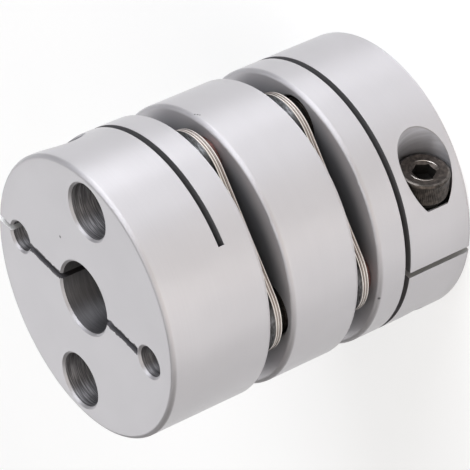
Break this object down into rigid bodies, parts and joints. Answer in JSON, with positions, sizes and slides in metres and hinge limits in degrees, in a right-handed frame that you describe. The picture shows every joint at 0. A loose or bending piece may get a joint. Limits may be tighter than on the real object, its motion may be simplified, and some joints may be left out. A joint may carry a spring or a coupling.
{
  "type": "disc coupling",
  "caption": "Double-disc clamp coupling: split clamp hubs joined through thin leaf packs and a centre ring, to connect two shafts in line.",
  "frame": {"origin": "on the coupling axis, at the end face of the lower hub, on which it stands", "axes": "+Z along the coupling axis towards the upper hub; +X towards the open slit of the lower hub; +Y towards the head of its clamp screw"},
  "size_m": [0.039, 0.039, 0.0483],
  "materials": {
    "aluminium": "turned aluminium alloy, clear anodised, satin",
    "spring_steel": "stainless spring strip, rolled bright, blanked edges",
    "plain_steel": "turned stainless steel, fine turning lines",
    "black_screw_steel": "alloy steel, black oxide, satin, lightly oiled"
  },
  "bodies": {
    "root": {"hub_lower": "aluminium", "hub_upper": "aluminium", "centre_ring": "aluminium", "leaf_lower_1": "spring_steel", "leaf_lower_2": "spring_steel", "leaf_lower_3": "spring_steel", "leaf_lower_4": "spring_steel", "leaf_lower_5": "spring_steel", "collar_lower_1": "plain_steel", "collar_lower_2": "plain_steel", "collar_lower_3": "plain_steel", "collar_lower_4": "plain_steel", "washer_lower_1": "plain_steel", "washer_lower_2": "plain_steel", "washer_lower_3": "plain_steel", "washer_lower_4": "plain_steel", "disc_screw_lower_1": "black_screw_steel", "disc_screw_lower_2": "black_screw_steel", "disc_screw_lower_3": "black_screw_steel", "disc_screw_lower_4": "black_screw_steel", "clamp_screw_lower": "black_screw_steel", "leaf_upper_1": "spring_steel", "leaf_upper_2": "spring_steel", "leaf_upper_3": "spring_steel", "leaf_upper_4": "spring_steel", "leaf_upper_5": "spring_steel", "collar_upper_1": "plain_steel", "collar_upper_2": "plain_steel", "collar_upper_3": "plain_steel", "collar_upper_4": "plain_steel", "washer_upper_1": "plain_steel", "washer_upper_2": "plain_steel", "washer_upper_3": "plain_steel", "washer_upper_4": "plain_steel", "disc_screw_upper_1": "black_screw_steel", "disc_screw_upper_2": "black_screw_steel", "disc_screw_upper_3": "black_screw_steel", "disc_screw_upper_4": "black_screw_steel", "clamp_screw_upper": "black_screw_steel"}
  },
  "joints": []
}
